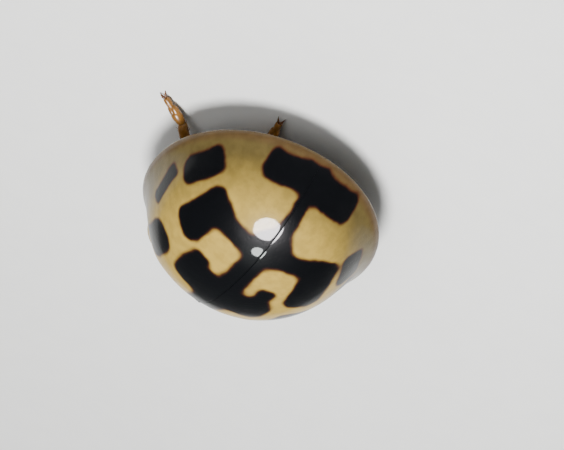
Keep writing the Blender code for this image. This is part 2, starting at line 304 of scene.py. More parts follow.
def finish_mesh(name, bm, materials, replaced, smooth_angle=None):
    """Turn a bmesh into a piece that rides on the beetle in place of its solids."""
    mesh = bpy.data.meshes.new(name)
    bm.to_mesh(mesh)
    bm.free()
    piece = add_object(name, mesh)
    mesh.shade_smooth()
    if smooth_angle is not None:
        mesh.set_sharp_from_angle(angle=math.radians(smooth_angle))
    for material in materials:
        mesh.materials.append(material)
    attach(piece, "root")
    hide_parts(*replaced)
    return piece


def slice_flat(bm, point, normal, clear=False):
    """Cut along a plane, and with clear drop what lies beyond it."""
    geometry = bm.verts[:] + bm.edges[:] + bm.faces[:]
    bmesh.ops.bisect_plane(bm, geom=geometry, plane_co=point, plane_no=normal, clear_outer=clear)


def half_sphere(segments, rings):
    bm = bmesh.new()
    bmesh.ops.create_uvsphere(bm, u_segments=segments, v_segments=rings, radius=1.0)
    lower = [vert for vert in bm.verts if vert.co.z < -1e-4]
    bmesh.ops.delete(bm, geom=lower, context="VERTS")
    return bm


def bend_along(bm, bend):
    for vert in bm.verts:
        vert.co.y += bend * vert.co.x ** 2


def cut_bent(bm, bend, edge_y, keep=1.0):
    """Cut along the curve y = edge_y - bend x², keeping its rear or, with keep at -1, its front."""
    bend_along(bm, bend)
    slice_flat(bm, (0.0, edge_y, 0.0), (0.0, -keep, 0.0), clear=True)
    bend_along(bm, -bend)


def score_bent(bm, bend, edge_y, keep, radius):
    """Add the edge loops beside that curve which a rounded edge needs."""
    bend_along(bm, bend)
    for share in ROUNDING_LOOPS:
        slice_flat(bm, (0.0, edge_y + keep * share * radius, 0.0), (0.0, 1.0, 0.0))
    bend_along(bm, -bend)


def round_over(bm, away, radius):
    """Roll a surface down where away, its distance from a cut edge, is under the radius."""
    for vert in bm.verts:
        left = radius - max(0.0, away(vert.co))
        if left > 0.0:
            strength = min(1.0, max(0.0, vert.co.z - ROLL_START) / ROLL_FADE)
            vert.co.z -= strength * (radius - math.sqrt(radius ** 2 - left ** 2))


def rounded_cut(bm, bend, edge_y, keep, radius):
    """Cut along a bent line and roll the edge that is left inwards."""
    score_bent(bm, bend, edge_y, keep, radius)
    cut_bent(bm, bend, edge_y, keep)
    round_over(bm, lambda co: keep * (co.y + bend * co.x ** 2 - edge_y), radius)


def cut_side(bm, x, side, radius):
    """Keep only the side's half, from x outwards, and roll its edge inwards."""
    for share in ROUNDING_LOOPS:
        slice_flat(bm, (side * (x + share * radius), 0.0, 0.0), (1.0, 0.0, 0.0))
    slice_flat(bm, (side * x, 0.0, 0.0), (-side, 0.0, 0.0), clear=True)
    round_over(bm, lambda co: abs(co.x) - x, radius)


def dome_shape(bm, radii, rear, squareness, fullness, rim_width, edge):
    """Turn a half-sphere into a low dome with a flared border."""
    width, front, height = radii
    for vert in bm.verts:
        plan = Vector((vert.co.x, vert.co.y))
        climb = min(1.0, max(0.0, vert.co.z))
        rise = (height - edge) * climb ** (2.0 / fullness)
        if plan.length > 1e-6:
            flare = rim_width * math.exp(-math.asin(climb) / RIM_FLARE)
            reach = (1.0 - rim_width) * plan.length ** (2.0 / fullness) + flare
            plan.normalize()
            length = front if plan.y < 0.0 else rear
            power = 2.0 + (squareness * reach if plan.y < 0.0 else 0.0)
            spread = abs(plan.x / width) ** power + abs(plan.y / length) ** power
            plan *= reach * spread ** (-1.0 / power)
        vert.co = (plan.x, plan.y, edge + rise)


def open_edges(bm):
    return [item for item in bm.edges if item.is_boundary]


def extrude_steps(bm, edges, steps, centre=(0.0, 0.0, 0.0)):
    """Extrude open edges in steps, each an inward scale about the centre and a rise."""
    to_centre = Matrix.Translation(-Vector(centre))
    for inwards, rise in steps:
        made = bmesh.ops.extrude_edge_only(bm, edges=edges)["geom"]
        verts = [item for item in made if isinstance(item, bmesh.types.BMVert)]
        bmesh.ops.scale(bm, vec=(inwards, inwards, 1.0), space=to_centre, verts=verts)
        bmesh.ops.translate(bm, vec=(0.0, 0.0, rise), verts=verts)
        edges = [item for item in made if isinstance(item, bmesh.types.BMEdge) and item.is_boundary]
    return edges


def add_lip(bm, edge):
    """Round the lower border of a dome under and inwards."""
    steps = ((1.0, -0.45 * edge), (0.997, -0.3 * edge), (0.99, -0.25 * edge), (0.94, 0.0), (0.94, 0.05))
    extrude_steps(bm, open_edges(bm), steps)


def thicken(piece, thickness):
    """Give an open plate its thickness on the inner side."""
    modifier = piece.modifiers.new("thickness", "SOLIDIFY")
    modifier.thickness = thickness * UNIT
    modifier.offset = -1.0


def to_body(bm):
    """Bring a shape made in half-widths to its size and place on the beetle."""
    bmesh.ops.scale(bm, vec=(UNIT,) * 3, verts=bm.verts[:])
    bmesh.ops.translate(bm, vec=place(0.0, 0.0, 0.0), verts=bm.verts[:])


def ridge(distance, at, width):
    """Height, up to 1, of a soft ridge at some distance, or of a mound where that is 0."""
    return math.exp(-((distance - at) / width) ** 2)


def along_list(values, share):
    """A value part of the way along an evenly spaced list."""
    at = share * (len(values) - 1)
    index = min(int(at), len(values) - 2)
    return values[index] + (values[index + 1] - values[index]) * (at - index)


def paint_faces(verts, paint):
    """Give the faces round some vertices the material of that index."""
    for face in {face for vert in verts for face in vert.link_faces}:
        face.material_index = paint


def limb(bm, start, end, widths, flat=1.0, bow=(0.0, 0.0, 0.0), sides=16, rings=14, blunt=0.4, paint=0):
    """Add a closed rod with round ends.

    The widths are its radii from start to end, flat narrows it, bow moves its middle aside, and a
    lower blunt makes its ends squarer. The paint is the index of its material.
    """
    start, end, bow = Vector(start), Vector(end), Vector(bow)
    made = bmesh.ops.create_uvsphere(bm, u_segments=sides, v_segments=rings, radius=1.0)["verts"]
    axis = end - start
    turn = axis.to_track_quat("Z", "Y").to_matrix()
    for vert in made:
        share = (vert.co.z + 1.0) / 2
        across = Vector((vert.co.x, vert.co.y, 0.0))
        if across.length > 1e-6:
            across = across.normalized() * along_list(widths, share) * across.length ** blunt
        across.x *= flat
        centre = start + axis * share + bow * 4.0 * share * (1.0 - share)
        vert.co = centre + turn @ across
    paint_faces(made, paint)
    return made


def ball(bm, centre, radii, segments, rings, paint=0):
    made = bmesh.ops.create_uvsphere(bm, u_segments=segments, v_segments=rings, radius=1.0)["verts"]
    for vert in made:
        vert.co = Vector(centre) + Vector(a * b for a, b in zip(vert.co, radii))
    paint_faces(made, paint)
    return made


# ---- materials


def add_node(tree, kind, inputs=None, **settings):
    """A shader node with its settings, and values or links on its inputs."""
    node = tree.nodes.new("ShaderNode" + kind)
    for name, value in settings.items():
        setattr(node, name, value)
    for key, value in (inputs or {}).items():
        if isinstance(value, bpy.types.NodeSocket):
            tree.links.new(value, node.inputs[key])
        else:
            node.inputs[key].default_value = value
    return node


def sums(tree, operation, *values):
    node = add_node(tree, "Math", dict(enumerate(values)), operation=operation)
    return node.outputs["Value"]


def vector_sums(tree, operation, *values):
    node = add_node(tree, "VectorMath", dict(enumerate(values)), operation=operation)
    return node.outputs["Vector"]


def blend_colours(tree, share, first, second, mode="MIX"):
    node = add_node(tree, "Mix", {"Factor": share}, data_type="RGBA", blend_type=mode)
    for index, value in ((6, first), (7, second)):
        if isinstance(value, bpy.types.NodeSocket):
            tree.links.new(value, node.inputs[index])
        else:
            node.inputs[index].default_value = (*value, 1.0)
    return node.outputs[2]


def fade(tree, value, low, high, low_to=0.0, high_to=1.0):
    """A smooth step of a value from low to high."""
    inputs = {"Value": value, "From Min": low, "From Max": high, "To Min": low_to, "To Max": high_to}
    node = add_node(tree, "MapRange", inputs, interpolation_type="SMOOTHSTEP")
    return node.outputs["Result"]


def object_point(tree, scale=(1.0, 1.0, 1.0), centre=(0.0, 0.0, 0.0)):
    """Object coordinates about a point, in half-widths times the scale."""
    coordinates = add_node(tree, "TexCoord").outputs["Object"]
    factor = Vector(scale) / UNIT
    inputs = {"Vector": coordinates, "Scale": factor, "Location": -factor * place(*centre)}
    return add_node(tree, "Mapping", inputs).outputs["Vector"]


def cloud(tree, point, scale, detail=3.0):
    inputs = {"Vector": point, "Scale": scale, "Detail": detail}
    return add_node(tree, "TexNoise", inputs).outputs["Fac"]


def cells(tree, point, scale):
    return add_node(tree, "TexVoronoi", {"Vector": point, "Scale": scale}).outputs["Distance"]


def relief(tree, height, depth, below=None):
    """A bump of a height from 0 to 1, with its depth in metres."""
    inputs = {"Height": height, "Distance": depth, "Strength": 1.0}
    if below is not None:
        inputs["Normal"] = below
    return add_node(tree, "Bump", inputs).outputs["Normal"]


def new_material(name, roughness, coat=0.0, coat_roughness=0.05, specular=0.15):
    material = bpy.data.materials.new(name)
    material.use_nodes = True
    shader = material.node_tree.nodes["Principled BSDF"]
    shader.inputs["Roughness"].default_value = roughness
    shader.inputs["Specular IOR Level"].default_value = specular
    shader.inputs["Coat Weight"].default_value = coat
    shader.inputs["Coat Roughness"].default_value = coat_roughness
    return material, material.node_tree, shader


def shell_map(tree):
    """Object coordinates laid flat: the crown at 0, the border at distance 1, +Y to the rear."""
    scale = (1.0, 1.0 / SHELL_REAR, 1.0 / (SHELL_HEIGHT - RIM_EDGE))
    point = object_point(tree, scale, (0.0, 0.0, RIM_EDGE))
    normalised = vector_sums(tree, "NORMALIZE", point)
    split = add_node(tree, "SeparateXYZ", {"Vector": normalised})
    slope = sums(tree, "ARCCOSINE", split.outputs["Z"])
    reach = sums(tree, "DIVIDE", slope, math.pi / 2)
    flat = add_node(tree, "CombineXYZ", {"X": split.outputs["X"], "Y": split.outputs["Y"]})
    direction = vector_sums(tree, "NORMALIZE", flat.outputs["Vector"])
    flattened = add_node(tree, "VectorMath", {0: direction, "Scale": reach}, operation="SCALE")
    return flattened.outputs["Vector"], reach


def mark_group():
    """Node group: how far a point lies outside a round-cornered oblong about the origin."""
    name = "mark_distance"
    if name in bpy.data.node_groups:
        return bpy.data.node_groups[name]
    group = bpy.data.node_groups.new(name, "ShaderNodeTree")
    group.interface.new_socket("Point", in_out="INPUT", socket_type="NodeSocketVector")
    group.interface.new_socket("Corner", in_out="INPUT", socket_type="NodeSocketVector")
    group.interface.new_socket("Radius", in_out="INPUT", socket_type="NodeSocketFloat")
    group.interface.new_socket("Distance", in_out="OUTPUT", socket_type="NodeSocketFloat")
    ends = group.nodes.new("NodeGroupInput")
    folded = vector_sums(group, "ABSOLUTE", ends.outputs["Point"])
    beyond = vector_sums(group, "SUBTRACT", folded, ends.outputs["Corner"])
    outside = vector_sums(group, "MAXIMUM", beyond, (0.0, 0.0, 0.0))
    length = add_node(group, "VectorMath", {0: outside}, operation="LENGTH")
    distance = sums(group, "SUBTRACT", length.outputs["Value"], ends.outputs["Radius"])
    group.links.new(distance, group.nodes.new("NodeGroupOutput").inputs["Distance"])
    return group


def nearest_mark(tree, point, marks, merge):
    """Distance to the nearest black mark, with marks that meet run together."""
    wobble = add_node(tree, "TexNoise", {"Vector": point, "Scale": 7.0, "Detail": 2.0}).outputs["Color"]
    spread = Vector((MARK_WOBBLE, MARK_WOBBLE, 0.0))
    shift = vector_sums(tree, "MULTIPLY_ADD", wobble, spread, -spread / 2)
    point = vector_sums(tree, "ADD", point, shift)
    nearest = None
    for middle, half, turn in marks.values():
        angle = -math.radians(turn)
        centre = Matrix.Rotation(angle, 3, "Z") @ Vector((*middle, 0.0))
        inputs = {"Vector": point, "Rotation": (0.0, 0.0, angle), "Location": -centre}
        turned = add_node(tree, "Mapping", inputs).outputs["Vector"]
        radius = MARK_ROUNDNESS * min(half)
        node = tree.nodes.new("ShaderNodeGroup")
        node.node_tree = mark_group()
        tree.links.new(turned, node.inputs["Point"])
        node.inputs["Corner"].default_value = (half[0] - radius, half[1] - radius, 10.0)
        node.inputs["Radius"].default_value = radius
        distance = node.outputs["Distance"]
        nearest = distance if nearest is None else sums(tree, "SMOOTH_MIN", nearest, distance, merge)
    growth = bpy.context.scene.ladybird_surface.mark_growth
    return sums(tree, "SUBTRACT", nearest, growth)


def paint_marks(tree, ground, distance):
    """Black marks with thin red-brown edges over a ground colour."""
    colours = bpy.context.scene.ladybird_colours
    softness = bpy.context.scene.ladybird_surface.mark_softness
    edge = fade(tree, distance, -0.2 * softness, softness)
    black = fade(tree, distance, -0.6 * softness, 0.35 * softness)
    edged = blend_colours(tree, edge, tuple(colours.mark_edge), ground)
    return blend_colours(tree, black, tuple(colours.mark), edged)


def cuticle_relief(tree, point, depth):
    """Fine soft pits over slow waves."""
    waves = relief(tree, cloud(tree, point, 2.6, 2.0), depth * 14.0)
    pits = fade(tree, cells(tree, point, 34.0), 0.0, 0.42)
    return relief(tree, pits, depth, waves)


def shell_material(name):
    colours = bpy.context.scene.ladybird_colours
    depth = bpy.context.scene.ladybird_surface.pit_depth
    material, tree, shader = new_material(name, 0.36, 0.32, 0.05, 0.04)
    flat, reach = shell_map(tree)
    point = object_point(tree)
    mottle = cloud(tree, point, 5.0, 4.0)
    # Painted shade: the ground runs from cream on the crown to a dark brown towards the border, where the
    # dome turns from the light
    margin = fade(tree, sums(tree, "ADD", reach, sums(tree, "MULTIPLY", mottle, 0.12)), 0.54, 0.98)
    ground = blend_colours(tree, margin, tuple(colours.cream), tuple(colours.margin))
    rim = fade(tree, reach, 0.94, 0.985)
    ground = blend_colours(tree, rim, ground, tuple(colours.rim))
    shade = fade(tree, cloud(tree, point, 14.0, 5.0), 0.3, 0.7, 0.88, 1.08)
    grey = add_node(tree, "CombineColor", {0: shade, 1: shade, 2: shade}).outputs["Color"]
    ground = blend_colours(tree, 1.0, ground, grey, "MULTIPLY")
    distance = nearest_mark(tree, flat, WING_MARKS, MARK_MERGE)
    tree.links.new(paint_marks(tree, ground, distance), shader.inputs["Base Color"])
    tree.links.new(cuticle_relief(tree, point, depth), shader.inputs["Normal"])
    return material


def pronotum_material():
    colours = bpy.context.scene.ladybird_colours
    depth = bpy.context.scene.ladybird_surface.pit_depth
    material, tree, shader = new_material("pronotum_cuticle", 0.36, 0.32, 0.06, 0.04)
    point = object_point(tree)
    mottle = fade(tree, cloud(tree, point, 9.0, 4.0), 0.3, 0.7)
    ground = blend_colours(tree, mottle, tuple(colours.cream), tuple(0.8 * c for c in colours.cream))
    flat = vector_sums(tree, "MULTIPLY", point, (1.0, 1.0, 0.0))
    distance = nearest_mark(tree, flat, PRONOTUM_MARKS, 0.03)
    tree.links.new(paint_marks(tree, ground, distance), shader.inputs["Base Color"])
    tree.links.new(cuticle_relief(tree, point, depth), shader.inputs["Normal"])
    return material


def distance_from(tree, point, centre, mirrored=False):
    """How far a point is from a centre, or from the nearer of two mirrored centres."""
    if mirrored:
        folded = vector_sums(tree, "ABSOLUTE", point)
        across = add_node(tree, "SeparateXYZ", {"Vector": folded}).outputs["X"]
        split = add_node(tree, "SeparateXYZ", {"Vector": point})
        inputs = {"X": across, "Y": split.outputs["Y"], "Z": split.outputs["Z"]}
        point = add_node(tree, "CombineXYZ", inputs).outputs["Vector"]
    node = add_node(tree, "VectorMath", {0: point, 1: tuple(centre)}, operation="DISTANCE")
    return node.outputs["Value"]


def head_material():
    """Cream face, black crown with a wedge between the eyes, and dark rings round eyes and sockets."""
    colours = bpy.context.scene.ladybird_colours
    material, tree, shader = new_material("head_cuticle", 0.36, 0.45, 0.08)
    point = object_point(tree)
    split = add_node(tree, "SeparateXYZ", {"Vector": point})
    away = sums(tree, "ABSOLUTE", split.outputs["X"])
    grain = sums(tree, "MULTIPLY", cloud(tree, point, 13.0, 4.0), 0.05)
    crown = sums(tree, "SUBTRACT", split.outputs["Z"], sums(tree, "MULTIPLY", away, 0.62))
    crown = fade(tree, sums(tree, "ADD", crown, grain), 0.045, 0.065)
    eye_ring = fade(tree, distance_from(tree, point, EYE_CENTRE, True), EYE_RING, EYE_RING + 0.015, 1.0, 0.0)
    socket = fade(tree, distance_from(tree, point, FEELER_SOCKET, True), 0.036, 0.056, 1.0, 0.0)
    black = sums(tree, "MAXIMUM", crown, eye_ring)
    mottle = fade(tree, cloud(tree, point, 16.0, 4.0), 0.3, 0.7)
    cream = blend_colours(tree, mottle, tuple(0.80 * c for c in colours.cream), tuple(colours.cream))
    face = blend_colours(tree, socket, cream, tuple(0.6 * c for c in colours.leg))
    colour = blend_colours(tree, black, face, tuple(colours.mark))
    tree.links.new(colour, shader.inputs["Base Color"])
    pits = fade(tree, cells(tree, point, 42.0), 0.0, 0.40)
    tree.links.new(relief(tree, pits, 0.0000015), shader.inputs["Normal"])
    return material


def eye_material():
    """Glossy black with very fine facets."""
    material, tree, shader = new_material("compound_eye", 0.22, 0.8, 0.04)
    point = object_point(tree)
    facets = cells(tree, point, 100.0)
    shade = fade(tree, facets, 0.1, 0.6)
    colour = blend_colours(tree, shade, (0.006, 0.005, 0.005), (0.0015, 0.0015, 0.002))
    tree.links.new(colour, shader.inputs["Base Color"])
    tree.links.new(relief(tree, sums(tree, "SUBTRACT", 1.0, facets), 0.0000012), shader.inputs["Normal"])
    return material


def skin_material(name, colour, roughness, scale, depth, variation=0.35, coat=0.2):
    """Cuticle of one colour, mottled and finely pitted."""
    material, tree, shader = new_material(name, roughness, coat, 0.12)
    point = object_point(tree)
    mottle = fade(tree, cloud(tree, point, scale, 4.0), 0.3, 0.7)
    dark = tuple(c * (1.0 - variation) for c in colour)
    light = tuple(min(1.0, c * (1.0 + variation)) for c in colour)
    tree.links.new(blend_colours(tree, mottle, dark, light), shader.inputs["Base Color"])
    waves = relief(tree, cloud(tree, point, scale * 1.7, 3.0), depth * 2.0)
    pits = fade(tree, cells(tree, point, scale * 4.0), 0.05, 0.4)
    tree.links.new(relief(tree, pits, depth, waves), shader.inputs["Normal"])
    return material


def shared_material(name, maker, *values, **settings):
    """The material of that name, made the first time that it is asked for."""
    if name in bpy.data.materials:
        return bpy.data.materials[name]
    return maker(name, *values, **settings)


def leg_materials():
    colours = bpy.context.scene.ladybird_colours
    amber = shared_material("amber_skin", skin_material, tuple(colours.leg), 0.34, 7.0, 0.000004)
    brown = shared_material("brown_skin", skin_material, tuple(colours.joint), 0.36, 9.0, 0.000004)
    return amber, brown


def black_material():
    colours = bpy.context.scene.ladybird_colours
    return shared_material("black_skin", skin_material, tuple(colours.belly), 0.34, 8.0, 0.000003, 0.5)


# ---- pieces


def shell_surface(rise=0.0):
    bm = half_sphere(176, 96)
    radii = (1.0, SHELL_FRONT, SHELL_HEIGHT + rise)
    dome_shape(bm, radii, SHELL_REAR, SHELL_SQUARENESS, SHELL_FULLNESS, RIM_WIDTH, RIM_EDGE)
    return bm


def build_wing_cases():
    material = shared_material("wing_case_cuticle", shell_material)
    for name, side in SIDES:
        bm = shell_surface()
        for vert in bm.verts:
            away = Vector((abs(vert.co.x) - SHOULDER[0], vert.co.y - SHOULDER[1])).length
            vert.co.z += SHOULDER_RISE * ridge(away, 0.0, SHOULDER_RADIUS)
        add_lip(bm, RIM_EDGE)
        cut_side(bm, SEAM, side, SEAM_ROLL)
        rounded_cut(bm, BASE_BEND, BASE_MIDDLE, 1.0, BASE_ROLL)
        to_body(bm)
        piece = finish_mesh("wing_case_" + name, bm, (material,), ("elytron_" + name,))
        thicken(piece, PLATE_THICKNESS)


def build_scutellum():
    bm = shell_surface(SCUTELLUM_RISE)
    for side in (-1.0, 1.0):
        facing = beside((*SCUTELLUM_SIDES, 0.0), side)
        slice_flat(bm, (0.0, SCUTELLUM_TIP, 0.0), facing, clear=True)
    rounded_cut(bm, BASE_BEND, BASE_MIDDLE, 1.0, BASE_ROLL)
    bmesh.ops.remove_doubles(bm, verts=bm.verts[:], dist=0.003)
    to_body(bm)
    material = shared_material("wing_case_cuticle", shell_material)
    piece = finish_mesh("scutellum_plate", bm, (material,), ("scutellum",))
    thicken(piece, PLATE_THICKNESS)


def build_pronotum():
    bm = half_sphere(160, 80)
    outline = (PRONOTUM_RADII, PRONOTUM_RADII[1], PRONOTUM_SQUARENESS)
    dome_shape(bm, *outline, PRONOTUM_FULLNESS, PRONOTUM_RIM_WIDTH, PRONOTUM_EDGE)
    add_lip(bm, PRONOTUM_EDGE)
    for vert in bm.verts:
        vert.co.y += PRONOTUM_Y
    rounded_cut(bm, BASE_BEND, BASE_MIDDLE + JOINT_LAP, -1.0, PRONOTUM_ROLL)
    rounded_cut(bm, COLLAR_BEND, COLLAR_Y, 1.0, COLLAR_ROLL)
    to_body(bm)
    piece = finish_mesh("pronotum_shield", bm, (pronotum_material(),), ("pronotum",))
    thicken(piece, PLATE_THICKNESS)


def face_relief(vert):
    """Shape the front of the head: a hollow brow, feeler sockets and a drawn-in mouth."""
    forward = (HEAD_CENTRE[1] - vert.co.y) / HEAD_RADII[1]
    if forward <= 0.0:
        return
    vert.co.x *= 1.0 - FACE_NARROWING * forward ** 2
    vert.co.z -= FACE_DROP * forward ** 2
    frontal = min(1.0, 2.5 * forward) ** 2
    brow = ridge(vert.co.x, 0.0, 0.10) * ridge(vert.co.z, 0.02, 0.09)
    socket = Vector((abs(vert.co.x) - FEELER_SOCKET[0], vert.co.z - FEELER_SOCKET[2])).length
    rim = ridge(socket, SOCKET_RADIUS, 0.014)
    pit = ridge(socket, 0.0, 0.034)
    eye = Vector((abs(vert.co.x) - EYE_CENTRE[0], vert.co.z - EYE_CENTRE[2])).length
    orbit = ridge(eye, EYE_RING, 0.016)
    below = 1.0 / (1.0 + math.exp((vert.co.z + 0.150) / 0.006))
    vert.co.y += frontal * (0.012 * brow + 0.022 * pit - 0.007 * rim + 0.008 * orbit + 0.022 * below)


def build_head():
    bm = bmesh.new()
    for vert in ball(bm, HEAD_CENTRE, HEAD_RADII, 144, 96):
        face_relief(vert)
    for vert in ball(bm, CLYPEUS_CENTRE, CLYPEUS_RADII, 56, 28):
        vert.co.y += 0.35 * vert.co.x ** 2
    to_body(bm)
    finish_mesh("head_capsule", bm, (head_material(),), ("head",))


def build_eyes():
    material = eye_material()
    for name, side in SIDES:
        bm = bmesh.new()
        ball(bm, beside(EYE_CENTRE, side), EYE_RADII, 64, 44)
        to_body(bm)
        finish_mesh("compound_eye_" + name, bm, (material,), ("eye_" + name,))


def build_jaws(materials):
    """The labrum over two curved jaws and the lower lip."""
    bm = bmesh.new()
    for vert in ball(bm, (0.0, -1.400, -0.195), (0.112, 0.058, 0.022), 48, 20):
        vert.co.y += 0.5 * vert.co.x ** 2 + 0.010 * ridge(vert.co.x, 0.0, 0.035)
    for side in (-1.0, 1.0):
        root = beside((0.095, -1.35, -0.215), side)
        tip = beside((0.012, -1.445, -0.222), side)
        bow = beside((0.035, -0.012, 0.0), side)
        limb(bm, root, tip, (0.034, 0.030, 0.022, 0.008), 0.7, bow, paint=1)
    ball(bm, (0.0, -1.33, -0.235), (0.085, 0.075, 0.022), 28, 14, 1)
    to_body(bm)
    finish_mesh("labrum_and_jaws", bm, materials, ("labrum",))


def build_mouth_feelers(name, side, materials):
    """A jaw's feeler with its hatchet-shaped end, and the small one of the lip."""
    bm = bmesh.new()
    points = [beside(point, side) for point in JAW_FEELER]
    limb(bm, points[0], points[1], (0.015, 0.022, 0.024), blunt=0.3)
    limb(bm, points[1], points[2], (0.017, 0.023, 0.027), blunt=0.3)
    limb(bm, points[2], points[3], (0.020, 0.036, 0.050), 0.5, blunt=0.2)
    points = [beside(point, side) for point in LIP_FEELER]
    limb(bm, points[0], points[1], (0.011, 0.014, 0.013), blunt=0.3, sides=12, rings=8)
    limb(bm, points[1], points[2], (0.011, 0.012, 0.007), blunt=0.3, sides=12, rings=8)
    to_body(bm)
    finish_mesh("mouth_feelers_" + name, bm, materials, ("palp_" + name,))


def build_mouthparts():
    materials = leg_materials()
    build_jaws(materials)
    for name, side in SIDES:
        build_mouth_feelers(name, side, materials)


def curve_point(path, share):
    """A point on the bow that leaves the path's first point and reaches its last."""
    first, middle, last = (Vector(point) for point in path)
    return first * (1 - share) ** 2 + middle * 2 * share * (1 - share) + last * share ** 2


def build_feelers():
    materials = leg_materials()
    for name, side in SIDES:
        bm = bmesh.new()
        path = [beside(point, side) for point in FEELER_PATH]
        for index, width in enumerate(FEELER_WIDTHS):
            start = curve_point(path, FEELER_JOINTS[index])
            end = curve_point(path, FEELER_JOINTS[index + 1])
            in_club = index >= CLUB_START
            swell = (0.74 * width, 0.86 * width, 0.96 * width, width, 0.95 * width)
            flat = 0.8 if in_club else 1.0
            limb(bm, start, end, swell, flat, blunt=0.22, rings=16, paint=int(in_club))
        to_body(bm)
        finish_mesh("feeler_" + name, bm, materials, ("antenna_" + name,))


def plate(bm, widths, front, rear, depth, rings=0):
    """Add a low, downward-bulging plate, plain or with overlapping rings, closed above by a roof."""
    made = bmesh.ops.create_grid(bm, x_segments=40, y_segments=72, size=1.0)["verts"]
    for vert in made:
        share = (vert.co.y + 1.0) / 2
        across = vert.co.x
        step = (share * rings) % 1.0 if rings else 0.0
        dip = depth * math.sqrt(max(0.0, 1.0 - across ** 2)) * math.sin(math.pi * share) ** 0.5
        ring = RING_STEP * step * (1.0 - across ** 4)
        bend = RING_BEND * across ** 2 if rings else 0.0
        y = front + (rear - front) * (share - bend * math.sin(math.pi * share))
        vert.co = Vector((across * along_list(widths, share), y, -dip - ring))
    bmesh.ops.reverse_faces(bm, faces=[face for face in bm.faces if face.normal.z > 0])
    rim = extrude_steps(bm, open_edges(bm), ROOF_STEPS, ROOF_MIDDLE)
    bmesh.ops.edgeloop_fill(bm, edges=rim)
    bmesh.ops.recalc_face_normals(bm, faces=bm.faces[:])


def build_belly():
    bm = bmesh.new()
    plate(bm, BELLY_WIDTHS, -0.10, 0.98, 0.075, BELLY_RINGS)
    bmesh.ops.translate(bm, vec=UP * UNDERSIDE_RISE, verts=bm.verts[:])
    to_body(bm)
    finish_mesh("belly_rings", bm, (black_material(),), ("abdomen",), PLATE_CREASE)


def build_breast():
    """The breast plate, with a groove down its middle."""
    bm = bmesh.new()
    plate(bm, BREAST_WIDTHS, -0.74, -0.08, 0.085)
    for vert in bm.verts:
        groove = ridge(vert.co.x, 0.0, 0.012) if vert.co.z < 0.0 else 0.0
        vert.co.z += UNDERSIDE_RISE + 0.012 * groove
    to_body(bm)
    finish_mesh("breast_plate", bm, (black_material(),), ("thorax",), PLATE_CREASE)


def build_front_breast():
    """The closed dark body inside the pronotum, with a keel between the front legs."""
    bm = bmesh.new()
    for vert in ball(bm, (0.0, -0.85, 0.0), (0.58, 0.30, 0.43), 72, 48):
        vert.co.z *= 1.0 if vert.co.z > 0.0 else 0.2
    limb(bm, (0.0, -1.04, -0.075), (0.0, -0.74, -0.085), (0.03, 0.045, 0.05, 0.02), 1.4)
    to_body(bm)
    finish_mesh("front_breast_plate", bm, (black_material(),), ("prothorax",))


def thickened(width):
    """A radius of a leg, with its thickness setting applied."""
    return width * bpy.context.scene.ladybird_surface.leg_thickness


def leg_joint(bm, start, end, widths, flat=1.0, bow=0.0, paint=0):
    """Add one smooth joint of a leg, bowed upwards."""
    limb(bm, start, end, [thickened(width) for width in widths], flat, UP * bow, 22, 24, 0.3, paint)


def build_leg(name, materials):
    """A leg of hip, short second joint, thigh, shin, foot joints and claws."""
    side = -1.0 if name.endswith("right") else 1.0
    hip, knee, ankle, foot = (beside(point, side) for point in LEG_JOINTS[name])
    out = (knee - hip).normalized()
    bm = bmesh.new()
    root = hip - out * 0.10 - UP * 0.005
    leg_joint(bm, root, hip + out * 0.08, (0.09, 0.105, 0.10, 0.07), 0.9, paint=1)
    leg_joint(bm, hip + out * 0.05, hip + out * 0.16, (0.045, 0.058, 0.050), paint=1)
    leg_joint(bm, hip + out * 0.10, knee, (0.045, 0.066, 0.080, 0.084, 0.078, 0.062), 0.7, 0.012)
    leg_joint(bm, knee - out * 0.030, ankle, (0.036, 0.044, 0.050, 0.055, 0.060), 0.82, 0.014)
    build_foot(bm, ankle, foot)
    add_bristles(bm, knee, ankle)
    to_body(bm)
    nodes = [part + "_" + name for part in LEG_NODES]
    finish_mesh("leg_" + name, bm, materials, nodes)


def build_foot(bm, ankle, foot):
    """Three foot joints, the second broad and two-lobed, and a pair of claws."""
    step = (foot - ankle).normalized()
    across = step.cross(UP).normalized()
    length = (foot - ankle).length
    first, second, last = (ankle + step * length * share for share in (0.40, 0.62, 0.90))
    limb(bm, ankle - step * 0.01, first, [thickened(width) for width in (0.036, 0.045, 0.050)], blunt=0.2)
    lobe_widths = [thickened(width) for width in (0.026, 0.034, 0.033, 0.026)]
    for turn in (-1.0, 1.0):
        lobe = across * turn * thickened(0.018)
        limb(bm, first - step * 0.06 + lobe * 0.6, second + lobe, lobe_widths, 0.9, blunt=0.3)
    limb(bm, first, last, [thickened(width) for width in (0.024, 0.028, 0.035)], blunt=0.3)
    for turn in (-1.0, 1.0):
        tip = last + step * 0.055 + across * turn * 0.032
        tip.z = FLOOR_LEVEL + 0.003
        limb(bm, last - step * 0.01, tip, (0.014, 0.012, 0.003), 0.8, UP * 0.014, 8, 8, 0.5, 1)


def add_bristles(bm, start, end):
    """Short stiff hairs down a shin."""
    shin = (end - start).normalized()
    across = shin.cross(UP).normalized()
    for index in range(BRISTLES):
        share = BRISTLE_START + BRISTLE_STEP * index
        turn = BRISTLE_TURN * index
        out = across * math.cos(turn) + across.cross(shin) * math.sin(turn)
        root = start + (end - start) * share + out * thickened(0.042)
        limb(bm, root, root + out * 0.020 + shin * 0.032, (0.0028, 0.0022, 0.0007), sides=4, rings=4)


# ---- stage


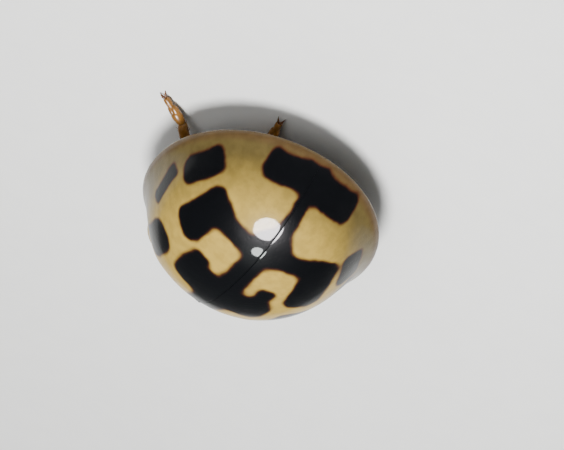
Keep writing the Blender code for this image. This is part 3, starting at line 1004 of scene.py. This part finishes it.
def build_floor():
    colour = tuple(bpy.context.scene.ladybird_stage.floor)
    material, tree, shader = new_material("floor_paint", 0.6)
    point = add_node(tree, "TexCoord").outputs["Object"]
    grain = fade(tree, cloud(tree, point, 2000.0), 0.3, 0.7)
    light = tuple(min(1.0, 1.02 * c) for c in colour)
    tree.links.new(blend_colours(tree, grain, colour, light), shader.inputs["Base Color"])
    bm = bmesh.new()
    bmesh.ops.create_grid(bm, x_segments=1, y_segments=1, size=0.5)
    mesh = bpy.data.meshes.new("floor")
    bm.to_mesh(mesh)
    bm.free()
    mesh.materials.append(material)
    floor = add_object("floor", mesh)


def add_light(name, direction, distance, size, power, colour=(1.0, 1.0, 1.0), seen_by="both"):
    """A round lamp facing the beetle, for its diffuse light, its mirrored image or both."""
    light = bpy.data.lights.new(name, "AREA")
    light.shape = "DISK"
    light.size = size
    light.energy = power
    light.color = colour
    lamp = add_object(name, light)
    direction = Vector(direction).normalized()
    lamp.location = place(0.0, 0.0, 0.4) + direction * distance
    lamp.rotation_mode = "QUATERNION"
    lamp.rotation_quaternion = direction.to_track_quat("Z", "Y")
    lamp.visible_camera = False
    lamp.visible_glossy = seen_by != "diffuse"
    lamp.visible_diffuse = seen_by != "glossy"


def build_camera():
    stage = bpy.context.scene.ladybird_stage
    data = bpy.data.cameras.new("camera")
    camera = add_object("camera", data)
    bpy.context.scene.camera = camera
    data.lens = stage.lens
    data.sensor_width = SENSOR_WIDTH
    distance = stage.frame_width * stage.lens / SENSOR_WIDTH
    ahead = Vector((math.sin(stage.azimuth), -math.cos(stage.azimuth), 0.0))
    back = ahead * math.cos(stage.elevation) + UP * math.sin(stage.elevation)
    turn = (-back).to_track_quat("-Z", "Y") @ Matrix.Rotation(stage.roll, 3, "Z").to_quaternion()
    aim = place(0.0, 0.0, 0.0) + turn @ Vector(AIM) * UNIT
    camera.rotation_mode = "QUATERNION"
    camera.rotation_quaternion = turn
    camera.location = aim + back * distance
    data.clip_start = distance * 0.01
    data.clip_end = distance * 100


def build_stage():
    build_floor()
    add_light("key_light", KEY_DIRECTION, 0.03, 0.012, 0.022, seen_by="diffuse")
    add_light("fill_light", (-0.6, 0.5, 0.6), 0.04, 0.03, 0.006, seen_by="diffuse")
    add_light("front_light", (0.4, -0.8, 0.45), 0.04, 0.03, 0.006, seen_by="diffuse")
    add_light("key_image", KEY_DIRECTION, 0.028, 0.0130, 0.060, (1.0, 0.96, 0.985), "glossy")
    add_light("small_image", (0.150, -0.125, 0.98), 0.028, 0.0048, 0.0045, (0.93, 1.0, 0.97), "glossy")
    world = bpy.data.worlds.new("studio")
    bpy.context.scene.world = world
    world.use_nodes = True
    background = world.node_tree.nodes["Background"]
    background.inputs["Color"].default_value = (0.84, 0.87, 0.88, 1.0)
    background.inputs["Strength"].default_value = 0.2
    build_camera()


# ---- operators


class LADYBIRD_OT_wing_cases(bpy.types.Operator):
    """Build the two domed wing cases"""

    bl_idname = "ladybird.wing_cases"
    bl_label = "Wing cases"

    def execute(self, context):
        build_wing_cases()
        return {"FINISHED"}


class LADYBIRD_OT_scutellum(bpy.types.Operator):
    """Build the small triangle between the wing cases"""

    bl_idname = "ladybird.scutellum"
    bl_label = "Scutellum"

    def execute(self, context):
        build_scutellum()
        return {"FINISHED"}


class LADYBIRD_OT_pronotum(bpy.types.Operator):
    """Build the shield behind the head"""

    bl_idname = "ladybird.pronotum"
    bl_label = "Pronotum"

    def execute(self, context):
        build_pronotum()
        return {"FINISHED"}


class LADYBIRD_OT_head(bpy.types.Operator):
    """Build the head capsule and the two eyes"""

    bl_idname = "ladybird.head"
    bl_label = "Head and eyes"

    def execute(self, context):
        build_head()
        build_eyes()
        return {"FINISHED"}


class LADYBIRD_OT_mouthparts(bpy.types.Operator):
    """Build the labrum, jaws and mouth feelers"""

    bl_idname = "ladybird.mouthparts"
    bl_label = "Mouthparts"

    def execute(self, context):
        build_mouthparts()
        return {"FINISHED"}


class LADYBIRD_OT_feelers(bpy.types.Operator):
    """Build the two clubbed feelers"""

    bl_idname = "ladybird.feelers"
    bl_label = "Feelers"

    def execute(self, context):
        build_feelers()
        return {"FINISHED"}


class LADYBIRD_OT_underside(bpy.types.Operator):
    """Build the breast plates and the rings of the belly"""

    bl_idname = "ladybird.underside"
    bl_label = "Underside"

    def execute(self, context):
        build_belly()
        build_breast()
        build_front_breast()
        return {"FINISHED"}


class LADYBIRD_OT_legs(bpy.types.Operator):
    """Build the six legs"""

    bl_idname = "ladybird.legs"
    bl_label = "Legs"

    def execute(self, context):
        materials = leg_materials()
        for name in LEG_JOINTS:
            build_leg(name, materials)
        return {"FINISHED"}


class LADYBIRD_OT_stage(bpy.types.Operator):
    """Set the floor, the lights and the camera"""

    bl_idname = "ladybird.stage"
    bl_label = "Stage"

    def execute(self, context):
        build_stage()
        return {"FINISHED"}


class LADYBIRD_PT_panel(bpy.types.Panel):
    """Sizes, colours and pieces of the ladybird"""

    bl_idname = "LADYBIRD_PT_panel"
    bl_label = "Ladybird"
    bl_space_type = "VIEW_3D"
    bl_region_type = "UI"
    bl_category = "Ladybird"

    def draw(self, context):
        column = self.layout.column(align=True)
        scene = context.scene
        for group in (scene.ladybird_surface, scene.ladybird_colours, scene.ladybird_stage):
            for name in group.bl_rna.properties.keys():
                if name not in ("rna_type", "name"):
                    column.prop(group, name)
            column.separator()
        for operator in OPERATORS:
            column.operator(operator.bl_idname)


OPERATORS = (
    LADYBIRD_OT_wing_cases,
    LADYBIRD_OT_scutellum,
    LADYBIRD_OT_pronotum,
    LADYBIRD_OT_head,
    LADYBIRD_OT_mouthparts,
    LADYBIRD_OT_feelers,
    LADYBIRD_OT_underside,
    LADYBIRD_OT_legs,
    LADYBIRD_OT_stage,
)
CLASSES = (LadybirdColours, LadybirdSurface, LadybirdStage, *OPERATORS, LADYBIRD_PT_panel)


def register():
    for item in CLASSES:
        bpy.utils.register_class(item)
    bpy.types.Scene.ladybird_colours = PointerProperty(type=LadybirdColours)
    bpy.types.Scene.ladybird_surface = PointerProperty(type=LadybirdSurface)
    bpy.types.Scene.ladybird_stage = PointerProperty(type=LadybirdStage)


def unregister():
    del bpy.types.Scene.ladybird_stage
    del bpy.types.Scene.ladybird_surface
    del bpy.types.Scene.ladybird_colours
    for item in reversed(CLASSES):
        bpy.utils.unregister_class(item)


def main():
    register()
    bpy.ops.ladybird.wing_cases()
    bpy.ops.ladybird.scutellum()
    bpy.ops.ladybird.pronotum()
    bpy.ops.ladybird.head()
    bpy.ops.ladybird.mouthparts()
    bpy.ops.ladybird.feelers()
    bpy.ops.ladybird.underside()
    bpy.ops.ladybird.legs()
    bpy.ops.ladybird.stage()


if __name__ == "__main__":
    main()
